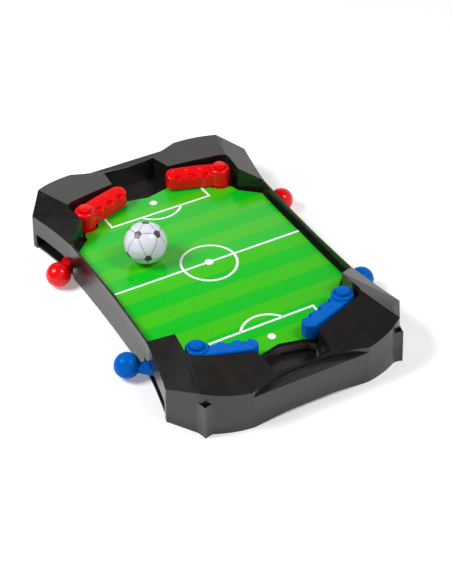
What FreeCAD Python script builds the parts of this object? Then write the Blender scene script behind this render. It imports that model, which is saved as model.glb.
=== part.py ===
import FreeCAD, Part
import math
import os

V = FreeCAD.Vector

# Tabletop football flipper game: a crowned pitch in a black housing, a goal pocket at each
# end and four sprung flippers worked by ball knobs at the sides.
# Frame: origin on the resting plane below the centre spot, +Y towards the red goal, +X to the
# right of a player sitting at the blue goal, +Z up. Millimetres. The housing has two mirror
# planes, so one quarter (x > 0, y > 0) is modelled and mirrored.

# ---- driving dimensions ------------------------------------------------------------------
WALL = 2.0                      # moulded wall thickness
REFERENCE_Z = 34.0              # height at which the plan outlines below are measured
FLARE = 0.009                   # share by which the walls spread from REFERENCE_Z down to the foot
RAIL_TOP = 35.5
SKIRT_TOP = 31.5                # top of the lower wall under the goal scoop and at the corners
RAIL_MIDDLE = (98.3, 0.0)       # the rails are slightly waisted
RAIL_END = (100.0, 75.5)
SIDE_CORNER = (111.4, 132.6)    # widest point of the housing
ROOF_CORNER = (93.9, 158.5)     # outer corner of the roof
END_CORNER = (54.4, 172.7)      # where the flat end wall starts
SCOOP_MIDDLE_Y = 161.7          # the upper edge of the end wall curves in to here
PROW_WALL = 1.1                 # rim round the hollow in the pointed foot of each corner
PROW_FLOOR = 24.0
ARCH_HALF_WIDTH = 51.0          # the foot of the end wall is arched
ARCH_RISE = 4.1

# Corner block roof: three planes, each height = level + slope_x (x - x0) + slope_y (y - y0)
ROOF_PEAK = (82.0, 117.4)
ROOF_PEAK_Z = 46.3
END_ROOF_SLOPES = (0.0764, -0.1389)
SIDE_ROOF_SLOPES = (-0.419, 0.0046)
FRONT_ROOF_SLOPES = (-0.5184, 0.0780)

# Inner walls of the playing field
FIELD_MIDDLE_X = 96.4
FIELD_END = (98.2, 74.3)
BLOCK_NOSE = (80.4, 90.1)       # inner front corner of a corner block
GOAL_POST_FRONT = (29.4, 135.2)
GOAL_BACK_Y = 160.0
GOAL_HALF_WIDTH = 26.0
GOAL_FLOOR = 14.0
LIP_TOP = 21.5                  # the goal's front wall starts with sloping facets
LIP_FOOT = 17.4

# Pitch: a board with a printed sheet on it, highest at the halfway line
CREST_Z = 28.4
PITCH_SLOPE = 0.040
SHEET_THICKNESS = 0.4
BOARD_THICKNESS = 1.7
PITCH_MIDDLE_X = 92.5
PITCH_END = (94.9, 70.5)
PITCH_NOSE = (77.6, 87.3)
PITCH_GOAL_MIDDLE_Y = 119.5
PITCH_GOAL_SIDE = (22.0, 124.6)
PITCH_GOAL_POST = (30.5, 128.5)

# Flippers
PIVOT = (70.0, 107.6)
PADDLE_LENGTH = 43.4            # pivot to centre of the rounded tip
PADDLE_ANGLE = 160.6            # rest direction of the paddle, degrees from +X
PADDLE_FRONT = 7.0              # the striking edge lies this far in front of the pivot
PADDLE_BACK = 9.4
TIP_RADIUS = 7.8
PADDLE_BOTTOM = 25.7
PADDLE_TOP = 39.2               # over the pivot line; the top leans down to the front
PADDLE_LEAN = 0.13
NOTCH_STEPS = (14.0, 27.0, 40.0)
NOTCH_RADIUS = 3.3
NOTCH_FLOOR = 36.4
BOSS_RADIUS = 9.7
BOSS_SHOULDER_Z = 42.1
BUTTON_RADIUS = 6.1
BUTTON_RIM_Z = 44.9
BOSS_TOP = 45.4
SHAFT_RADIUS = 6.6
RUNNING_CLEARANCE = 0.08
ARM_ANGLE = -40.2               # rest direction of the lever arm, degrees from +X
KNOB_DISTANCE = 59.4            # pivot to knob centre
KNOB_RADIUS = 11.3
KNOB_Z = 11.6
ARM_BOTTOM = 8.0
ARM_TOP = 14.5
ARM_WIDTH = 10.6
HUB_TOP = 15.2
HUB_RADIUS = 9.0
JOURNAL_RADIUS = 4.7
SLOT_NEAR_Y = 71.5              # the lever slot in the side wall, open at the foot
SLOT_FAR_Y = 129.0
SLOT_TOP = 16.0

# Base plate and fasteners
BASE_BOTTOM = 0.8
BASE_TOP = 2.8
BASE_GAP = 0.4
SCREW_SHANK = 1.25
SCREW_HEAD = 2.8
CASE_SCREW_SPOTS = [(91.0, 148.0), (44.0, 151.0), (86.0, 45.0), (30.0, 60.0)]

# Return spring: a torsion spring round the bush under the deck
SPRING_WIRE = 0.9
SPRING_RADIUS = 9.9
SPRING_TURNS = 3.25
SPRING_PITCH = 0.95
SPRING_BASE_Z = 15.75
SPRING_LEG_REACH = 15.4
SPRING_LEG_OFFSET = 7.5         # the moving leg stands this many degrees past the arm's axis

# Ball, at rest on the red half of the pitch
BALL_RADIUS = 19.0
BALL_WALL = 1.2
BALL_SPOT = (-46.0, 31.5)

CORNERS = {"red_right": (1, 1), "red_left": (-1, 1), "blue_right": (1, -1), "blue_left": (-1, -1)}


# ---- helpers -----------------------------------------------------------------------------
def outline(path, z=0.0):
    """Closed wire at height z. An item of path is a corner, or (middle, end) of an arc."""
    points = [item if not isinstance(item[0], tuple) else item[1] for item in path]
    edges = []
    for index, item in enumerate(path):
        start = V(*points[index - 1], z)
        end = V(*points[index], z)
        if isinstance(item[0], tuple):
            edges.append(Part.Arc(start, V(*item[0], z), end).toShape())
        else:
            edges.append(Part.makeLine(start, end))
    return Part.Wire(edges)


def prism(wire, z0, z1):
    """Extrude a flat wire from z0 up to z1."""
    face = Part.Face(wire)
    face.translate(V(0, 0, z0 - face.BoundBox.ZMin))
    return face.extrude(V(0, 0, z1 - z0))


def tapered(path, inset, z0, z1):
    """Solid inside an outline drawn at REFERENCE_Z, whose walls spread towards the foot."""
    wire = outline(path)
    if inset:
        wire = wire.makeOffset2D(-inset, 2)
    sections = []
    for z in (z0, z1):
        section = wire.copy()
        section.scale(1 + FLARE * (1 - z / REFERENCE_Z))
        section.translate(V(0, 0, z))
        sections.append(section)
    return Part.makeLoft(sections, True, True)


def box(x0, x1, y0, y1, z0, z1):
    return Part.makeBox(x1 - x0, y1 - y0, z1 - z0, V(x0, y0, z0))


def cylinder(x, y, radius, z0, z1):
    return Part.makeCylinder(radius, z1 - z0, V(x, y, z0))


def under(height, bottom=-20.0, size=220.0):
    """Solid below the plane height(x, y), over the quarter and a little beyond it."""
    low = [V(x, y, bottom) for x, y in ((-30, -30), (size, -30), (size, size), (-30, size))]
    high = [V(p.x, p.y, height(p.x, p.y)) for p in low]
    faces = [low, high] + [[low[i - 1], low[i], high[i], high[i - 1]] for i in range(4)]
    shell = Part.makeShell([Part.Face(Part.makePolygon(f + f[:1])) for f in faces])
    return Part.makeSolid(shell)


def quarter(shape):
    return shape.common(box(0, 300, 0, 300, -50, 150))


def mirrored(shape, sign_x, sign_y):
    if sign_x < 0:
        shape = shape.mirror(V(0, 0, 0), V(1, 0, 0))
    if sign_y < 0:
        shape = shape.mirror(V(0, 0, 0), V(0, 1, 0))
    return shape


def all_quarters(shape):
    copies = [mirrored(shape, sx, sy) for sx, sy in CORNERS.values()]
    return copies[0].fuse(copies[1:]).removeSplitter()


def polar(angle, radius, centre=PIVOT):
    turn = math.radians(angle)
    return (centre[0] + radius * math.cos(turn), centre[1] + radius * math.sin(turn))


def deck_height(y):
    """Top of the housing's deck, on which the pitch board lies."""
    return CREST_Z - SHEET_THICKNESS - BOARD_THICKNESS - PITCH_SLOPE * y


def roof(slopes, level, anchor):
    return lambda x, y: level + slopes[0] * (x - anchor[0]) + slopes[1] * (y - anchor[1])


# ---- housing -----------------------------------------------------------------------------
def side_outline():
    """Plan of the outer side from one mirror plane to the end corner, with a start beyond it."""
    return [(-30.0, -30.0), (RAIL_MIDDLE[0], -30.0), RAIL_MIDDLE, ((98.75, 38.0), RAIL_END),
            ((105.0, 104.5), SIDE_CORNER), ROOF_CORNER, ((75.5, 167.8), END_CORNER)]


def lower_outline():
    """Plan of the lower wall, with a flat end."""
    return side_outline() + [(-30.0, END_CORNER[1])]


def upper_outline():
    """Plan of the upper body, scooped in behind the goal."""
    return side_outline() + [((33.0, 165.6), (0.0, SCOOP_MIDDLE_Y)), (-30.0, SCOOP_MIDDLE_Y)]


def prow_outline():
    """Plan of the small pointed foot in front of the roof corner."""
    return [(88.0, 150.0), (95.9, 155.4), ((94.1, 160.6), (93.2, 165.0)),
            ((87.2, 163.5), (80.0, 164.4)), (80.0, 158.0)]


def field_outline():
    """Plan of the inner walls from rail to goal post: rail, corner block and flipper pocket."""
    return [(-30.0, -30.0), (FIELD_MIDDLE_X, -30.0), (FIELD_MIDDLE_X, 0.0),
            ((96.85, 37.0), FIELD_END), BLOCK_NOSE, (82.4, 108.5),
            ((81.7, 116.7), (75.4, 121.2)), ((54.0, 128.3), GOAL_POST_FRONT),
            (-30.0, GOAL_POST_FRONT[1])]


def goal_rim():
    """Plan of the goal pocket at the deck, whose front edge is a shallow V."""
    return [(-30.0, 121.2), (0.0, 121.2), (22.5, 127.2), (29.3, 132.2), GOAL_POST_FRONT,
            (GOAL_HALF_WIDTH, GOAL_BACK_Y), (-30.0, GOAL_BACK_Y)]


def goal_foot():
    """Plan of the goal pocket below its sloping front facets."""
    return [(-30.0, 124.2), (0.0, 124.2), (22.4, 129.8), (27.6, 135.9), (28.4, 139.0),
            (GOAL_HALF_WIDTH, GOAL_BACK_Y), (-30.0, GOAL_BACK_Y)]


def grown(path, grow):
    wire = outline(path)
    return wire.makeOffset2D(grow, 2) if grow else wire


def goal_space(grow):
    """Everything above the goal floor, inside the goal's walls grown by grow."""
    rim = grown(goal_rim(), grow)
    foot = grown(goal_foot(), grow)
    sections = [foot.copy(), rim.copy()]
    sections[0].translate(V(0, 0, LIP_FOOT))
    sections[1].translate(V(0, 0, LIP_TOP))
    facets = Part.makeLoft(sections, True, True)
    return prism(foot, GOAL_FLOOR - grow, LIP_FOOT).fuse([facets, prism(rim, LIP_TOP, 80)])


def field_space(grow):
    """Everything above the deck and the goal floor, inside the inner walls grown by grow."""
    field = prism(grown(field_outline(), grow), 0, 80)
    above_deck = field.cut(under(lambda x, y: deck_height(y) - grow))
    return above_deck.fuse(goal_space(grow))


def block_roofs(inset):
    return [roof(END_ROOF_SLOPES, ROOF_PEAK_Z - inset, ROOF_PEAK),
            roof(SIDE_ROOF_SLOPES, ROOF_PEAK_Z - inset, ROOF_PEAK),
            roof(FRONT_ROOF_SLOPES, RAIL_TOP - inset, RAIL_END)]


def corner_block(inset):
    """Solid of the upper body over a corner block and the rim behind the goal."""
    solid = tapered(upper_outline(), inset, 15.0, 50.0)
    for height in block_roofs(inset):
        solid = solid.common(under(height))
    nose = BLOCK_NOSE
    run = (RAIL_END[0] - nose[0], RAIL_END[1] - nose[1])
    outer = (nose[0] + 2 * run[0], nose[1] + 2 * run[1])
    behind = outline([(nose[0] - 4 * run[0], nose[1] - 4 * run[1]), outer, (200, 200), (-30, 200)])
    if inset:
        behind = behind.makeOffset2D(-inset, 2)
    return solid.common(prism(behind, 0, 80))


def prow():
    """Pointed foot of a corner, hollow at the top."""
    hollow = tapered(prow_outline(), PROW_WALL, PROW_FLOOR, SKIRT_TOP + 2)
    return tapered(prow_outline(), 0, 0.0, SKIRT_TOP).cut(hollow)


def lever_slot():
    return box(86.0, 125.0, SLOT_NEAR_Y, SLOT_FAR_Y, -5.0, SLOT_TOP)


def end_arch():
    """The end wall's foot is arched, so the game stands on its corners."""
    half, y = ARCH_HALF_WIDTH, END_CORNER[1] - 8
    arc = Part.Arc(V(-half, y, 0), V(0, y, ARCH_RISE), V(half, y, 0)).toShape()
    floor = Part.makePolygon([V(half, y, 0), V(half, y, -5), V(-half, y, -5), V(-half, y, 0)])
    return Part.Face(Part.Wire([arc] + floor.Edges)).extrude(V(0, 20, 0))


def housing_skin():
    rail = tapered(lower_outline(), 0, 0.0, RAIL_TOP).common(box(-40, 200, -40, 77, 0, 80))
    outside = tapered(lower_outline(), 0, 0.0, SKIRT_TOP).fuse([rail, corner_block(0), prow()])
    inside = tapered(lower_outline(), WALL, -1.0, SKIRT_TOP - WALL).fuse(corner_block(WALL))
    skin = outside.cut(field_space(0)).cut(inside.cut(field_space(WALL)))
    return quarter(skin.cut([lever_slot(), end_arch()]))


def screw_post(x, y):
    """Tube that a case screw bites into; its top melts into the deck or the roof."""
    top = deck_height(y) if y < 100 else min(height(x, y) for height in block_roofs(0))
    return cylinder(x, y, 3.6, BASE_TOP + 0.1, top - WALL / 2)


def pivot_bush():
    return cylinder(*PIVOT, SHAFT_RADIUS + 2.2, HUB_TOP + 0.3, deck_height(PIVOT[1]) - 1.0)


def spring_stop():
    """Post under the deck that the spring's fixed leg bears on."""
    x, y = polar(spring_fixed_angle() + SPRING_LEG_OFFSET, 14.0)
    return cylinder(x, y, 1.3, SPRING_BASE_Z + 1.5, deck_height(PIVOT[1]) - 1.0)


def build_housing():
    skin = housing_skin()
    posts = [screw_post(x, y) for x, y in CASE_SCREW_SPOTS]
    skin = skin.fuse(posts + [pivot_bush(), spring_stop()])
    holes = [cylinder(x, y, SCREW_SHANK + 0.02, 0, 16.0) for x, y in CASE_SCREW_SPOTS]
    holes.append(cylinder(*PIVOT, SHAFT_RADIUS + RUNNING_CLEARANCE, 0, 40))
    return all_quarters(skin.cut(holes))


# ---- pitch -------------------------------------------------------------------------------
def pitch_outline():
    return [(-30.0, -30.0), (PITCH_MIDDLE_X, -30.0), (PITCH_MIDDLE_X, 0.0),
            ((93.2, 36.0), PITCH_END), PITCH_NOSE, (77.4, 92.0), PIVOT, (48.0, 117.5),
            PITCH_GOAL_POST, PITCH_GOAL_SIDE, (0.0, PITCH_GOAL_MIDDLE_Y),
            (-30.0, PITCH_GOAL_MIDDLE_Y)]


def pitch_layer(top, thickness):
    """One sloping layer of the pitch, whose top lies below the crest by top."""
    def surface(depth):
        return under(lambda x, y: CREST_Z - depth - PITCH_SLOPE * y)
    column = prism(outline(pitch_outline()), 0, 60).cut(cylinder(*PIVOT, BOSS_RADIUS + 1.8, 0, 60))
    return all_quarters(quarter(column.common(surface(top)).cut(surface(top + thickness))))


# ---- flipper -----------------------------------------------------------------------------
def paddle_plan():
    """Plan of the paddle along +X from the pivot, its striking edge towards +Y."""
    middle, tip = PADDLE_FRONT - TIP_RADIUS, PADDLE_LENGTH + TIP_RADIUS
    return outline([(0.0, PADDLE_FRONT), (PADDLE_LENGTH, PADDLE_FRONT),
                    ((tip, middle), (PADDLE_LENGTH, middle - TIP_RADIUS)),
                    ((22.0, -9.7), (0.0, -PADDLE_BACK))])


def paddle_top(x, y):
    return PADDLE_TOP - PADDLE_LEAN * y


def notch(step):
    """Round-backed bite in the striking edge, with a floor that falls to the front."""
    y = PADDLE_FRONT - 1.6
    bite = cylinder(step, y, NOTCH_RADIUS, 30, 50)
    bite = bite.fuse(box(step - NOTCH_RADIUS, step + NOTCH_RADIUS, y, y + 8, 30, 50))
    return bite.cut(under(lambda x, y: NOTCH_FLOOR - 0.2 * (y - PADDLE_FRONT + 5)))


def dimple(x, y):
    return Part.makeSphere(2.6, V(x, y, paddle_top(x, y) + 1.9))


def paddle_blade():
    """Blade along +X with a soft top edge, three notches at the front and three dimples."""
    blade = prism(paddle_plan(), PADDLE_BOTTOM, PADDLE_TOP + 5).common(under(paddle_top))
    rim = [e for e in blade.Edges if e.BoundBox.ZMin > PADDLE_BOTTOM + 5]
    blade = blade.makeFillet(1.7, rim)
    bites = [notch(step) for step in NOTCH_STEPS]
    return blade.cut(bites + [dimple(step + 4.4, -2.6) for step in NOTCH_STEPS])


def boss_profile():
    """Half section of the pivot boss: a rounded shoulder, a groove and a raised button."""
    r, shoulder, button = BOSS_RADIUS, BOSS_SHOULDER_Z, BUTTON_RADIUS
    bottom = deck_height(PIVOT[1]) + 0.8

    def p(radius, z):
        return V(radius, 0, z)
    corners = [p(r - 2.6, shoulder), p(button + 0.6, shoulder - 0.4), p(button, shoulder - 0.4),
               p(button, BUTTON_RIM_Z - 0.9), p(button - 0.3, BUTTON_RIM_Z - 0.3),
               p(button - 0.9, BUTTON_RIM_Z), p(0, BUTTON_RIM_Z), p(0, bottom), p(r, bottom),
               p(r, shoulder - 2.6)]
    shoulder_arc = Part.Arc(corners[-1], p(r - 0.76, shoulder - 0.76), corners[0]).toShape()
    return Part.Wire([shoulder_arc] + Part.makePolygon(corners).Edges)


def button_dome():
    """Shallow spherical cap on the button."""
    rise = BOSS_TOP - BUTTON_RIM_Z
    edge = BUTTON_RADIUS - 0.92
    radius = (edge ** 2 + rise ** 2) / (2 * rise)
    ball = Part.makeSphere(radius, V(0, 0, BOSS_TOP - radius))
    return ball.common(cylinder(0, 0, edge, BUTTON_RIM_Z - 0.3, BOSS_TOP + 1))


def place_on_pivot(shape, angle):
    shape.rotate(V(0, 0, 0), V(0, 0, 1), angle)
    shape.translate(V(*PIVOT, 0))
    return shape


def square_bar(side, z0, z1):
    half = side / 2
    return box(-half, half, -half, half, z0, z1)


def build_paddle():
    """Paddle for the +X +Y corner: blade, boss, and a shaft with a square socket below."""
    boss = Part.Face(boss_profile()).revolve(V(0, 0, 0), V(0, 0, 1), 360)
    shaft = cylinder(0, 0, SHAFT_RADIUS, HUB_TOP, PADDLE_BOTTOM)
    paddle = paddle_blade().fuse([boss, button_dome(), shaft])
    paddle = paddle.cut([square_bar(6.1, HUB_TOP - 1, 21.3), cylinder(0, 0, SCREW_SHANK + 0.02, 20, 34)])
    return place_on_pivot(paddle.removeSplitter(), PADDLE_ANGLE)


def build_lever():
    """Lever for the +X +Y corner: hub, square spigot, journal, arm, spring pin and ball knob."""
    half, end = ARM_WIDTH / 2, KNOB_DISTANCE - 4.0
    arm = prism(outline([(0, -half), (40, -half), (end, -3.6), (end, 3.6), (40, half), (0, half)]),
                ARM_BOTTOM, ARM_TOP)
    long_edges = [e for e in arm.Edges if abs(e.Vertexes[0].Z - e.Vertexes[-1].Z) < 0.01
                  and e.BoundBox.XLength > 10]
    arm = arm.makeFillet(1.0, long_edges)
    hub = cylinder(0, 0, HUB_RADIUS, ARM_BOTTOM, HUB_TOP)
    journal = cylinder(0, 0, JOURNAL_RADIUS, BASE_TOP + 0.8, ARM_BOTTOM)
    knob = Part.makeSphere(KNOB_RADIUS, V(KNOB_DISTANCE, 0, KNOB_Z))
    pin = cylinder(14.0, 0, 1.2, ARM_TOP - 1, SPRING_BASE_Z + 1.4)
    spigot = square_bar(6.0, HUB_TOP - 1, 21.0)
    spigot.rotate(V(0, 0, 0), V(0, 0, 1), PADDLE_ANGLE - ARM_ANGLE)
    lever = arm.fuse([hub, journal, knob, pin, spigot])
    screw_way = cylinder(0, 0, SCREW_SHANK + 0.25, 0, 30)
    head_way = cylinder(0, 0, SCREW_HEAD + 0.2, 0, 6.4)
    return place_on_pivot(lever.cut([screw_way, head_way]).removeSplitter(), ARM_ANGLE)


def cross_head_screw(x, y, head_z, length):
    """Pan-head screw pointing up, its head's underside at head_z."""
    shank = cylinder(x, y, SCREW_SHANK, head_z, head_z + length)
    point = Part.makeCone(SCREW_SHANK, 0.3, 1.4, V(x, y, head_z + length))
    head = cylinder(x, y, SCREW_HEAD, head_z - 1.6, head_z)
    slots = [box(x - 1.7, x + 1.7, y - 0.4, y + 0.4, head_z - 2, head_z - 0.8),
             box(x - 0.4, x + 0.4, y - 1.7, y + 1.7, head_z - 2, head_z - 0.8)]
    return head.fuse([shank, point]).cut(slots).removeSplitter()


def spring_fixed_angle():
    """Direction of the spring's fixed leg, at the top of the coil."""
    return ARM_ANGLE + SPRING_LEG_OFFSET + 360 * SPRING_TURNS


def spring_leg(turns):
    """Straight radial leg that leaves the coil after this many turns."""
    leg = Part.makeCylinder(SPRING_WIRE / 2, SPRING_LEG_REACH - SPRING_RADIUS,
                            V(SPRING_RADIUS, 0, SPRING_PITCH * turns), V(1, 0, 0))
    leg.rotate(V(0, 0, 0), V(0, 0, 1), 360 * turns)
    return leg


def build_spring():
    """Torsion spring: a close coil with one leg on the lever's pin and one on the fixed post."""
    helix = Part.makeHelix(SPRING_PITCH, SPRING_PITCH * SPRING_TURNS, SPRING_RADIUS)
    section = Part.Wire(Part.makeCircle(SPRING_WIRE / 2, V(SPRING_RADIUS, 0, 0), V(0, 1, 0)))
    coil = Part.Wire(helix).makePipeShell([section], True, True)
    sink = 2 / 360
    spring = coil.fuse([spring_leg(sink), spring_leg(SPRING_TURNS - sink)])
    spring.translate(V(0, 0, SPRING_BASE_Z))
    return place_on_pivot(spring, ARM_ANGLE + SPRING_LEG_OFFSET)


# ---- base plate, screws and ball ------------------------------------------------------------
def build_base():
    """Bottom cover: fits inside the skirt, shows in the lever slots, carries the journals."""
    plate = tapered(lower_outline(), WALL + BASE_GAP, BASE_BOTTOM, BASE_TOP)
    sill = tapered(lower_outline(), 0.8, BASE_BOTTOM, BASE_TOP)
    sill = sill.common(box(80, 120, SLOT_NEAR_Y + BASE_GAP, SLOT_FAR_Y - BASE_GAP, 0, 5))
    bearing = cylinder(*PIVOT, JOURNAL_RADIUS + 2.6, BASE_TOP - 1, ARM_BOTTOM - 0.1)
    bore = cylinder(*PIVOT, JOURNAL_RADIUS + RUNNING_CLEARANCE, BASE_TOP + 0.6, 20)
    base = quarter(plate.fuse(sill)).fuse(bearing).cut(bore)
    for x, y in CASE_SCREW_SPOTS:
        sink = cylinder(x, y, SCREW_HEAD + 0.3, 0, BASE_BOTTOM + 1.0)
        base = base.cut([sink, cylinder(x, y, SCREW_SHANK + 0.25, 0, 5)])
    return all_quarters(base)


def case_screws():
    """The case screws as one group of separate solids."""
    screws = [cross_head_screw(x * sx, y * sy, BASE_BOTTOM + 1.0, 9.0)
              for x, y in CASE_SCREW_SPOTS for sx, sy in CORNERS.values()]
    return Part.makeCompound(screws)


def ball_half(upper):
    """Half of the hollow ball, with a lap joint at its equator."""
    x, y = BALL_SPOT
    z = CREST_Z - PITCH_SLOPE * y + BALL_RADIUS * math.sqrt(1 + PITCH_SLOPE ** 2)
    centre = V(x, y, z)
    shell = Part.makeSphere(BALL_RADIUS, centre).cut(Part.makeSphere(BALL_RADIUS - BALL_WALL, centre))
    lap = BALL_RADIUS - BALL_WALL / 2
    lower_cut = box(x - 30, x + 30, y - 30, y + 30, z - 30, z)
    lower = shell.common(lower_cut)
    lip = shell.common(cylinder(x, y, lap, z, z + 1.5))
    lower = lower.fuse(lip).removeSplitter()
    return shell.cut(lower) if upper else lower


def export(shape, name):
    solids = shape.Solids
    shape = solids[0] if len(solids) == 1 else Part.makeCompound(solids)
    shape.exportStep("parts/%s.step" % name)
    print(name, len(solids), "solids", round(shape.Volume / 1000, 2), "cm3", shape.isValid())


def main():
    os.makedirs("parts", exist_ok=True)
    export(build_housing(), "housing")
    export(build_base(), "base_plate")
    export(pitch_layer(SHEET_THICKNESS, BOARD_THICKNESS), "pitch_board")
    export(pitch_layer(0.0, SHEET_THICKNESS), "pitch_sheet")
    export(case_screws(), "case_screws")
    export(ball_half(True), "ball_upper_half")
    export(ball_half(False), "ball_lower_half")
    pieces = {"paddle": build_paddle(), "lever": build_lever(), "return_spring": build_spring(),
              "pivot_screw": cross_head_screw(*PIVOT, 6.4, 24.0)}
    for corner, signs in CORNERS.items():
        for piece, shape in pieces.items():
            export(mirrored(shape, *signs), "%s_%s" % (piece, corner))


main()
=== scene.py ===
import math

import bmesh
import bpy
from mathutils import Matrix, Vector


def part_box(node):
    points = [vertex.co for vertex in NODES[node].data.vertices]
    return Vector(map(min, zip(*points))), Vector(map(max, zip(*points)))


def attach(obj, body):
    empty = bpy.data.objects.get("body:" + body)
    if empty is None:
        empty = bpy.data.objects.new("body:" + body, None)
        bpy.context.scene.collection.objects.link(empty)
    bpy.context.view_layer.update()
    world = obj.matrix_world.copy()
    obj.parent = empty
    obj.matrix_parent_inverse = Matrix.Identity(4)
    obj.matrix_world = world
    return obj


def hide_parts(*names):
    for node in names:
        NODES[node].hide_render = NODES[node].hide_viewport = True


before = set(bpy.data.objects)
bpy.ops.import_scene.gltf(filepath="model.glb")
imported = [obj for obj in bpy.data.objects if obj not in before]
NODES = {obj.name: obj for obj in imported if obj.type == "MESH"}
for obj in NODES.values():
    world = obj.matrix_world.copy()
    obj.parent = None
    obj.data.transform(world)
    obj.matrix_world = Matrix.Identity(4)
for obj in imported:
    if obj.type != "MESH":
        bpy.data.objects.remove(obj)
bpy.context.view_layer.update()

# Tabletop football flipper game. The frame is the row's: +Y towards the red goal, +Z up, metres.
# Lengths below are millimetres, turned into metres by MM.
MM = 0.001
SHARP_ANGLE = 24                # degrees between faces above which an edge is rounded
CREASE_ANGLE = 4.5              # and above which the edge between two large facets shows
LARGE_FACET = 40                # square millimetres
FLAT_ANGLE = 0.6                # faces nearer to one plane than this are joined
HOUSING_EDGE = 0.5              # width of the rounded edges
FLIPPER_EDGE = 0.3

# ---- camera and light --------------------------------------------------------------------
VIEW_AZIMUTH = -28.702          # degrees the camera stands to the left of the blue seat
VIEW_ELEVATION = 39.267
VIEW_ROLL = -0.587
VIEW_SHIFT = (-14.921, 26.519, -1296.219)    # crest of the pitch, seen from the camera
FOCAL_LENGTH = 90.66            # on a 36 mm sensor along the picture's long side
CREST_Z = 28.4
FLOOR_WHITE = (0.93, 0.93, 0.93, 1)
FLOOR_GLOW = 0.22
SKY_BRIGHT = (0.78, 0.77, 0.76, 1)
SKY_DARK = (0.07, 0.068, 0.066, 1)
SKY_TOP = 0.71                  # sine of the elevation above which the surroundings are dark
SKY_EDGE = 0.09                 # how far below that the change ends
SKY_SLANT = -0.5                # they brighten along x plus this share of y, so the back left is dark
SKY_SIDE = (-0.45, -0.15)       # from dark to bright in that direction

# ---- print on the pitch ------------------------------------------------------------------
SLOPE = 0.040                   # the pitch falls from the halfway line to both goals
STRIPE = 17.4
LINE = 2.2
HALFWAY_REACH = 92.4
CIRCLE_RADIUS = 25.0
CENTRE_SPOT = 4.0
BOX_HALF_WIDTH = 50.4
BOX_LINE_Y = 92.7
BOX_SIDE_END_Y = 116.0
ARC_RADIUS = 24.5
ARC_CENTRE_Y = 106.0
PENALTY_SPOT = (109.0, 3.5)
INK_LIFT = 0.03

# ---- ball --------------------------------------------------------------------------------
BALL_RADIUS = 19.0
BALL_TILT = 17.6                # lean of the printed pattern's pole from upright
BALL_LEAN_TOWARDS = 55.3
BALL_SPIN = 1.2
UPPER_RING = 51.0               # polar angles of the two rings of five pentagons
LOWER_RING = 118.0
PENTAGON = 12.2                 # angular radius of a pentagon
BALL_GROOVE = 0.20              # depth of the groove where the halves meet
SEAM_PITCH = 5.3                # degrees from one printed dash to the next
PRINT_LIFT = 0.03


def linear(red, green, blue):
    """Linear RGBA from display values of 0 to 255."""
    def channel(value):
        value = value / 255
        return value / 12.92 if value <= 0.04045 else ((value + 0.055) / 1.055) ** 2.4
    return (channel(red), channel(green), channel(blue), 1)


# ---- mesh helpers ------------------------------------------------------------------------
def new_piece(name, vertices, faces, material, smooth=True):
    mesh = bpy.data.meshes.new(name)
    mesh.from_pydata(vertices, [], faces)
    mesh.update()
    if smooth:
        mesh.shade_smooth()
    piece = bpy.data.objects.new(name, mesh)
    bpy.context.scene.collection.objects.link(piece)
    if material:
        mesh.materials.append(material)
    return piece


def is_crease(line):
    """Sharp edges, and the shallow ones between two large facets."""
    if len(line.link_faces) != 2:
        return True
    angle = math.degrees(line.calc_face_angle())
    large = min(face.calc_area() for face in line.link_faces) > LARGE_FACET * MM * MM
    return angle > SHARP_ANGLE or (large and angle > CREASE_ANGLE)


def softened(node, name, edge, material):
    """A piece with the shape of a CAD node whose sharp edges are rounded as moulded ones are."""
    bm = bmesh.new()
    bm.from_mesh(NODES[node].data)
    bmesh.ops.remove_doubles(bm, verts=bm.verts, dist=0.002 * MM)
    bmesh.ops.dissolve_limit(bm, angle_limit=math.radians(FLAT_ANGLE), verts=bm.verts, edges=bm.edges)
    bm.verts.index_update()
    bm.edges.index_update()
    vertices = [v.co.copy() for v in bm.verts]
    faces = [[v.index for v in f.verts] for f in bm.faces]
    creases = {tuple(sorted(v.index for v in e.verts)) for e in bm.edges if is_crease(e)}
    bm.free()
    piece = new_piece(name, vertices, faces, material)
    for line in piece.data.edges:
        line.use_edge_sharp = tuple(sorted(line.vertices)) in creases
    bevel = piece.modifiers.new("rounded edges", "BEVEL")
    bevel.width = edge * MM
    bevel.segments = 2
    bevel.limit_method = "ANGLE"
    bevel.angle_limit = math.radians(SHARP_ANGLE)
    bevel.harden_normals = True
    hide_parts(node)
    return piece


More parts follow.
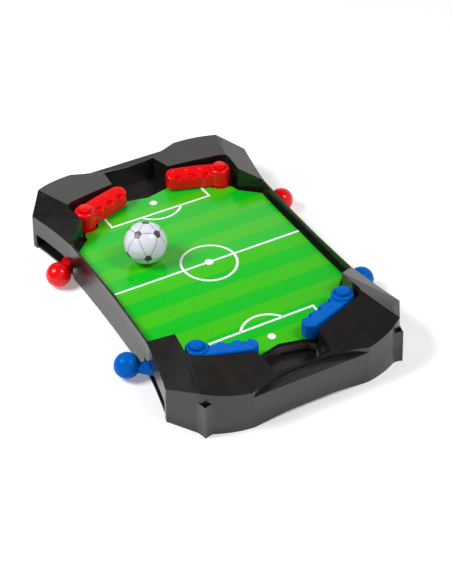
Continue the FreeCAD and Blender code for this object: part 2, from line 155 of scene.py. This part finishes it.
# ---- materials ---------------------------------------------------------------------------
class Nodes:
    """Short hand for building one material's node tree."""

    def __init__(self, name):
        self.material = bpy.data.materials.new(name)
        self.material.use_nodes = True
        self.tree = self.material.node_tree
        self.shader = self.tree.nodes["Principled BSDF"]
        self.place = self.add("ShaderNodeTexCoord").outputs["Object"]

    def add(self, kind, **settings):
        node = self.tree.nodes.new(kind)
        for key, value in settings.items():
            setattr(node, key, value)
        return node

    def link(self, output, target):
        self.tree.links.new(output, target)

    def math(self, operation, first, second=None):
        node = self.add("ShaderNodeMath", operation=operation)
        for socket, value in zip(node.inputs, (first, second)):
            if isinstance(value, (int, float)):
                socket.default_value = value
            elif value is not None:
                self.link(value, socket)
        return node.outputs[0]

    def noise(self, scale, detail=3.0, stretch=(1, 1, 1)):
        mapping = self.add("ShaderNodeMapping")
        mapping.inputs["Scale"].default_value = stretch
        self.link(self.place, mapping.inputs["Vector"])
        noise = self.add("ShaderNodeTexNoise")
        noise.inputs["Scale"].default_value = scale
        noise.inputs["Detail"].default_value = detail
        self.link(mapping.outputs[0], noise.inputs["Vector"])
        return noise.outputs["Fac"]

    def span(self, value, low, high, to_low, to_high):
        node = self.add("ShaderNodeMapRange")
        for socket, number in zip(node.inputs[1:5], (low, high, to_low, to_high)):
            socket.default_value = number
        self.link(value, node.inputs["Value"])
        return node.outputs["Result"]

    def mix(self, share, first, second):
        node = self.add("ShaderNodeMix", data_type="RGBA")
        for socket, value in ((node.inputs[0], share), (node.inputs[6], first), (node.inputs[7], second)):
            if isinstance(value, (tuple, float, int)):
                socket.default_value = value
            else:
                self.link(value, socket)
        return node.outputs[2]

    def bump(self, height, depth):
        node = self.add("ShaderNodeBump")
        node.inputs["Strength"].default_value = 1.0
        node.inputs["Distance"].default_value = depth * MM
        self.link(height, node.inputs["Height"])
        self.link(node.outputs[0], self.shader.inputs["Normal"])


def moulded_plastic(name, colour, rough, worn, grain, sheen_level, streaks=0.0, brushed=0.0):
    """Injection-moulded plastic: fine grain, faint flow marks along y and a slightly uneven gloss."""
    n = Nodes(name)
    flow = n.noise(26, 4, (1, 0.25, 1))
    cloud = n.noise(90, 5)
    fine = n.noise(2600, 2)
    n.link(n.mix(n.span(cloud, 0.35, 0.7, 0, 1), colour, worn), n.shader.inputs["Base Color"])
    gloss = n.math("ADD", n.span(flow, 0.3, 0.7, -streaks, streaks), n.span(cloud, 0.3, 0.7, 0.0, 0.03))
    n.link(n.math("ADD", gloss, rough), n.shader.inputs["Roughness"])
    n.shader.inputs["Specular IOR Level"].default_value = sheen_level
    n.shader.inputs["Specular Tint"].default_value = (1, 0.95, 0.92, 1)
    lines = n.math("MULTIPLY", n.noise(650, 2, (1, 0.04, 1)), brushed)
    n.bump(n.math("ADD", fine, lines), grain)
    return n.material


def printed_pitch():
    """Two greens in stripes under a glossy film, with the dots and dust of cheap printing."""
    n = Nodes("pitch print")
    parts = n.add("ShaderNodeSeparateXYZ")
    n.link(n.place, parts.inputs[0])
    band = n.math("FLOORED_MODULO", n.math("DIVIDE", parts.outputs["Y"], STRIPE * MM), 2)
    is_light = n.math("GREATER_THAN", band, 1)
    speckle = n.noise(900, 2)
    shade = n.noise(14, 3)
    dark = n.mix(n.span(speckle, 0.3, 0.7, 0, 1), linear(0, 178, 22), linear(6, 188, 30))
    light = n.mix(n.span(speckle, 0.3, 0.7, 0, 1), linear(52, 180, 6), linear(62, 190, 12))
    green = n.mix(is_light, dark, light)
    tint = n.mix(n.span(shade, 0.35, 0.65, 0, 0.10), green, linear(20, 170, 20))
    n.link(tint, n.shader.inputs["Base Color"])
    n.link(n.span(n.noise(60, 4), 0.3, 0.7, 0.16, 0.22), n.shader.inputs["Roughness"])
    n.bump(n.noise(700, 3), 0.004)
    return n.material


def ink(name, colour, other, rough):
    n = Nodes(name)
    n.link(n.mix(n.span(n.noise(1400, 3), 0.35, 0.65, 0, 1), colour, other), n.shader.inputs["Base Color"])
    n.link(n.span(n.noise(300, 3), 0.3, 0.7, rough - 0.03, rough + 0.05), n.shader.inputs["Roughness"])
    n.bump(n.noise(1800, 2), 0.003)
    return n.material


def steel(name, colour, rough):
    n = Nodes(name)
    n.shader.inputs["Metallic"].default_value = 1.0
    n.link(n.mix(n.noise(400, 4), colour, linear(120, 118, 112)), n.shader.inputs["Base Color"])
    n.link(n.span(n.noise(900, 3), 0.3, 0.7, rough, rough + 0.15), n.shader.inputs["Roughness"])
    n.bump(n.noise(1500, 2), 0.006)
    return n.material


def repaint(node, material):
    data = NODES[node].data
    data.materials.clear()
    data.materials.append(material)


# ---- pitch -------------------------------------------------------------------------------
def on_pitch(x, y, layers):
    """A point above the printed sheet's top, by as many layers of ink."""
    return Vector((x, y, CREST_Z - SLOPE * abs(y) + INK_LIFT * layers)) * MM


def bar(x0, x1, y0, y1):
    """White bar along the axes, cut finely enough to follow the crown of the pitch."""
    xs = [x0, x1]
    ys = [y0, y1] if y0 * y1 >= 0 else [y0, 0.0, y1]
    points = [(x, y) for y in ys for x in xs]
    return points, [(2 * i, 2 * i + 1, 2 * i + 3, 2 * i + 2) for i in range(len(ys) - 1)]


def ring(centre_y, inner, outer, start, end, steps):
    points = []
    for i in range(steps + 1):
        turn = math.radians(start + (end - start) * i / steps)
        for radius in (inner, outer):
            points.append((radius * math.cos(turn), centre_y + radius * math.sin(turn)))
    return points, [(2 * i, 2 * i + 1, 2 * i + 3, 2 * i + 2) for i in range(steps)]


def pitch_marks(material):
    """Halfway line, centre circle and spot, and at each end the box, its arc and the penalty spot."""
    half = LINE / 2
    marks = [bar(-HALFWAY_REACH, HALFWAY_REACH, -half, half),
             ring(0, CIRCLE_RADIUS - half, CIRCLE_RADIUS + half, 0, 360, 120),
             ring(0, 0.01, CENTRE_SPOT, 0, 360, 48)]
    lift = math.degrees(math.asin((ARC_CENTRE_Y - BOX_LINE_Y) / ARC_RADIUS))
    for end in (1, -1):
        marks.append(bar(-BOX_HALF_WIDTH - half, BOX_HALF_WIDTH + half, end * (BOX_LINE_Y - half),
                         end * (BOX_LINE_Y + half)))
        for side in (1, -1):
            edge = side * BOX_HALF_WIDTH
            marks.append(bar(edge - half, edge + half, end * (BOX_LINE_Y + half), end * BOX_SIDE_END_Y))
        marks.append(ring(end * ARC_CENTRE_Y, ARC_RADIUS - half, ARC_RADIUS + half,
                          -end * lift, -end * (180 - lift), 48))
        marks.append(ring(end * PENALTY_SPOT[0], 0.01, PENALTY_SPOT[1], 0, 360, 48))
    vertices, faces = [], []
    for layer, (points, quads) in enumerate(marks):
        first = len(vertices)
        vertices += [on_pitch(x, y, 1 + layer % 3) for x, y in points]
        faces += [[first + i for i in quad] for quad in quads]
    piece = new_piece("pitch_marks", vertices, faces, material)
    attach(piece, "table")


# ---- ball --------------------------------------------------------------------------------
def direction(polar, turn):
    polar, turn = math.radians(polar), math.radians(turn)
    return Vector((math.sin(polar) * math.cos(turn), math.sin(polar) * math.sin(turn), math.cos(polar)))


def pentagon_directions():
    """Centres of the twelve pentagons, and the thirty pairs of neighbours."""
    centres = [direction(0, 0)]
    centres += [direction(UPPER_RING, 72 * i) for i in range(5)]
    centres += [direction(LOWER_RING, 72 * i + 36) for i in range(5)]
    centres.append(direction(180, 0))
    pairs = []
    for i in range(5):
        upper, lower, following = 1 + i, 6 + i, (i + 1) % 5
        pairs += [(0, upper), (11, lower), (upper, 1 + following), (lower, 6 + following),
                  (upper, lower), (1 + following, lower)]
    pole = direction(BALL_TILT, BALL_LEAN_TOWARDS)
    across = (Vector((1, 0, 0)) - pole * pole.x).normalized()
    spin = Matrix.Rotation(math.radians(BALL_SPIN), 3, "Z")
    turn = Matrix((across, pole.cross(across), pole)).transposed() @ spin
    return [turn @ c for c in centres], pairs


def along(start, end, angle):
    """Direction reached by going angle degrees from start towards end."""
    side = (end - start * start.dot(end)).normalized()
    return start * math.cos(math.radians(angle)) + side * math.sin(math.radians(angle))


def ball_centre():
    low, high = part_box("ball_lower_half")
    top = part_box("ball_upper_half")[1]
    return Vector(((low.x + high.x) / 2, (low.y + high.y) / 2, (low.z + top.z) / 2))


def ball_body(material):
    """Hollow ball with the faint groove where its two halves meet."""
    centre = ball_centre()
    rows, columns = 64, 96
    vertices, faces = [], []
    for i in range(1, rows):
        polar = 180 * i / rows
        groove = BALL_GROOVE if i == rows // 2 else 0.0
        for j in range(columns):
            vertices.append(centre + direction(polar, 360 * j / columns) * (BALL_RADIUS - groove) * MM)
    for i in range(rows - 2):
        for j in range(columns):
            following = (j + 1) % columns
            faces.append((i * columns + j, (i + 1) * columns + j, (i + 1) * columns + following,
                          i * columns + following))
    top, bottom = len(vertices), len(vertices) + 1
    vertices += [centre + Vector((0, 0, s * BALL_RADIUS * MM)) for s in (1, -1)]
    last = (rows - 2) * columns
    for j in range(columns):
        following = (j + 1) % columns
        faces.append((top, j, following))
        faces.append((bottom, last + following, last + j))
    piece = new_piece("ball_skin", vertices, faces, material)
    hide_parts("ball_upper_half", "ball_lower_half")
    return piece


def patch(centre, corners, rings, lift):
    """Filled shape on the ball, fanned in rings from its middle so that it hugs the sphere."""
    middle = sum(corners, Vector()).normalized()
    radius = (BALL_RADIUS + lift) * MM
    vertices, faces, count = [centre + middle * radius], [], len(corners)
    for k in range(1, rings + 1):
        for corner in corners:
            vertices.append(centre + middle.lerp(corner, k / rings).normalized() * radius)
    for j in range(count):
        faces.append((0, 1 + j, 1 + (j + 1) % count))
    for k in range(rings - 1):
        for j in range(count):
            a, b = 1 + k * count + j, 1 + k * count + (j + 1) % count
            faces.append((a, a + count, b + count, b))
    return vertices, faces


def joined(name, parts, material, body):
    vertices, faces = [], []
    for points, polygons in parts:
        first = len(vertices)
        vertices += points
        faces += [[first + i for i in polygon] for polygon in polygons]
    piece = new_piece(name, vertices, faces, material)
    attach(piece, body)
    return piece


def ball_pentagons(material):
    centre = ball_centre()
    centres, pairs = pentagon_directions()
    parts = []
    for index, middle in enumerate(centres):
        neighbours = [centres[b if a == index else a] for a, b in pairs if index in (a, b)]
        side = (neighbours[0] - middle * middle.dot(neighbours[0])).normalized()
        other = middle.cross(side)
        neighbours.sort(key=lambda n: math.atan2(n.dot(other), n.dot(side)))
        corners = [along(middle, n, PENTAGON) for n in neighbours]
        outline = []
        for j, corner in enumerate(corners):
            following = corners[(j + 1) % 5]
            outline += [corner.lerp(following, k / 6).normalized() for k in range(6)]
        parts.append(patch(centre, outline, 5, PRINT_LIFT))
    return joined("ball_pentagons", parts, material, "ball")


def dash(centre, start, end, width):
    """Short printed dash with rounded ends between two directions."""
    run = (end - start).normalized()
    middle = (start + end).normalized()
    side = middle.cross(run).normalized()
    half = width / 2 / BALL_RADIUS
    corners = []
    for tip, sign in ((end, 1), (start, -1)):
        for k in range(5):
            turn = math.radians(-90 + 45 * k) * sign
            offset = run * math.cos(turn) * half * sign + side * math.sin(turn) * half * sign
            corners.append((tip + offset).normalized())
    return patch(centre, corners, 1, PRINT_LIFT)


def ball_seams(material):
    """Printed seams between the pentagons: solid and thick at both ends, dotted in the middle."""
    centre = ball_centre()
    centres, pairs = pentagon_directions()
    parts = []
    for a, b in pairs:
        total = math.degrees(centres[a].angle(centres[b]))
        free = total - 2 * PENTAGON
        count = max(4, round(free / SEAM_PITCH))
        for k in range(count):
            share = (k + 0.5) / count
            nearness = abs(2 * share - 1)
            width = 0.85 - 0.15 * nearness
            length = 0.42 + 0.75 * nearness ** 1.5
            middle = PENTAGON + free * share
            half = length * free / count / 2
            parts.append(dash(centre, along(centres[a], centres[b], middle - half),
                              along(centres[a], centres[b], middle + half), width))
    return joined("ball_seams", parts, material, "ball")


# ---- stage -------------------------------------------------------------------------------
def camera():
    azimuth, elevation, roll = (math.radians(a) for a in (VIEW_AZIMUTH, VIEW_ELEVATION, VIEW_ROLL))
    back = Vector((math.sin(azimuth) * math.cos(elevation), -math.cos(azimuth) * math.cos(elevation),
                   math.sin(elevation)))
    level = Vector((math.cos(azimuth), math.sin(azimuth), 0))
    rise = back.cross(level)
    right = level * math.cos(roll) + rise * math.sin(roll)
    up = rise * math.cos(roll) - level * math.sin(roll)
    turn = Matrix((right, up, back)).transposed()
    data = bpy.data.cameras.new("camera")
    data.lens = FOCAL_LENGTH
    data.sensor_width = 36
    data.clip_end = 50
    view = bpy.data.objects.new("camera", data)
    place = (Vector((0, 0, CREST_Z)) - turn @ Vector(VIEW_SHIFT)) * MM
    view.matrix_world = Matrix.Translation(place) @ turn.to_4x4()
    bpy.context.scene.collection.objects.link(view)
    bpy.context.scene.camera = view


def soft_box(name, towards, distance, width, height, power):
    """Rectangular studio light that faces the middle of the pitch."""
    data = bpy.data.lights.new(name, "AREA")
    data.shape = "RECTANGLE"
    data.size, data.size_y = width, height
    data.energy = power
    lamp = bpy.data.objects.new(name, data)
    place = Vector(towards).normalized() * distance
    lamp.location = place
    lamp.rotation_euler = place.to_track_quat("Z", "Y").to_euler()
    bpy.context.scene.collection.objects.link(lamp)


def surroundings():
    """World that is bright low down, and dark overhead and at the back on the left."""
    world = bpy.data.worlds.new("studio")
    bpy.context.scene.world = world
    world.use_nodes = True
    tree = world.node_tree
    parts = tree.nodes.new("ShaderNodeSeparateXYZ")
    tree.links.new(tree.nodes.new("ShaderNodeTexCoord").outputs["Generated"], parts.inputs[0])
    across = tree.nodes.new("ShaderNodeMath")
    across.operation = "MULTIPLY_ADD"
    across.inputs[1].default_value = SKY_SLANT
    tree.links.new(parts.outputs["Y"], across.inputs[0])
    tree.links.new(parts.outputs["X"], across.inputs[2])
    spans = []
    for output, bounds in ((parts.outputs["Z"], (SKY_TOP, SKY_TOP - SKY_EDGE)), (across.outputs[0], SKY_SIDE)):
        span = tree.nodes.new("ShaderNodeMapRange")
        span.interpolation_type = "SMOOTHSTEP"
        span.inputs["From Min"].default_value, span.inputs["From Max"].default_value = bounds
        tree.links.new(output, span.inputs["Value"])
        spans.append(span.outputs["Result"])
    share = tree.nodes.new("ShaderNodeMath")
    share.operation = "MULTIPLY"
    for output, socket in zip(spans, share.inputs):
        tree.links.new(output, socket)
    mix = tree.nodes.new("ShaderNodeMix")
    mix.data_type = "RGBA"
    tree.links.new(share.outputs[0], mix.inputs[0])
    mix.inputs[6].default_value = SKY_DARK
    mix.inputs[7].default_value = SKY_BRIGHT
    tree.links.new(mix.outputs[2], tree.nodes["Background"].inputs["Color"])


def pale_floor():
    floor = new_piece("floor", [(x, y, 0) for x, y in ((-6, -6), (6, -6), (6, 6), (-6, 6))], [(0, 1, 2, 3)],
                      None, smooth=False)
    n = Nodes("pale floor")
    n.shader.inputs["Base Color"].default_value = FLOOR_WHITE
    n.shader.inputs["Roughness"].default_value = 0.8
    n.shader.inputs["Emission Color"].default_value = (1, 1, 1, 1)
    n.shader.inputs["Emission Strength"].default_value = FLOOR_GLOW
    floor.data.materials.append(n.material)


def studio():
    """Bright and dark surroundings, two soft boxes overhead, a panel at the back and the floor."""
    surroundings()
    soft_box("left soft box", (-0.63, 0.20, 0.75), 1.3, 0.50, 0.50, 14.5)
    soft_box("right soft box", (0.36, -0.42, 0.83), 1.4, 0.25, 0.45, 8)
    soft_box("far panel", (0.72, 0.68, 0.12), 2.5, 1.6, 1.0, 0.5)
    pale_floor()


def main():
    bpy.context.scene.view_settings.view_transform = "Standard"
    black = moulded_plastic("black plastic", (0.0085, 0.0078, 0.0073, 1), 0.22,
                            (0.0112, 0.0100, 0.0095, 1), 0.006, 0.66, 0.05, 4.5)
    red = moulded_plastic("red plastic", linear(226, 6, 15), 0.16, linear(219, 5, 13), 0.003, 0.34)
    blue = moulded_plastic("blue plastic", linear(0, 95, 186), 0.16, linear(0, 90, 181), 0.003, 0.05)
    screw = steel("zinc plated steel", linear(190, 190, 188), 0.25)
    wire = steel("spring steel", linear(150, 150, 152), 0.2)
    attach(softened("housing", "housing_shell", HOUSING_EDGE, black), "table")
    repaint("base_plate", black)
    repaint("pitch_board", black)
    repaint("case_screws", screw)
    repaint("pitch_sheet", printed_pitch())
    pitch_marks(ink("white print", linear(240, 242, 246), linear(232, 236, 238), 0.2))
    for corner, plastic in (("red_right", red), ("red_left", red), ("blue_right", blue), ("blue_left", blue)):
        for part in ("paddle", "lever"):
            piece = softened(f"{part}_{corner}", f"{corner}_{part}", FLIPPER_EDGE, plastic)
            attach(piece, "flipper_" + corner)
        repaint("return_spring_" + corner, wire)
        repaint("pivot_screw_" + corner, screw)
    white = ink("ball plastic", linear(213, 214, 226), linear(208, 210, 222), 0.3)
    dark = ink("ball ink", linear(48, 42, 38), linear(74, 66, 60), 0.35)
    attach(ball_body(white), "ball")
    ball_pentagons(dark)
    ball_seams(dark)
    camera()
    studio()


main()
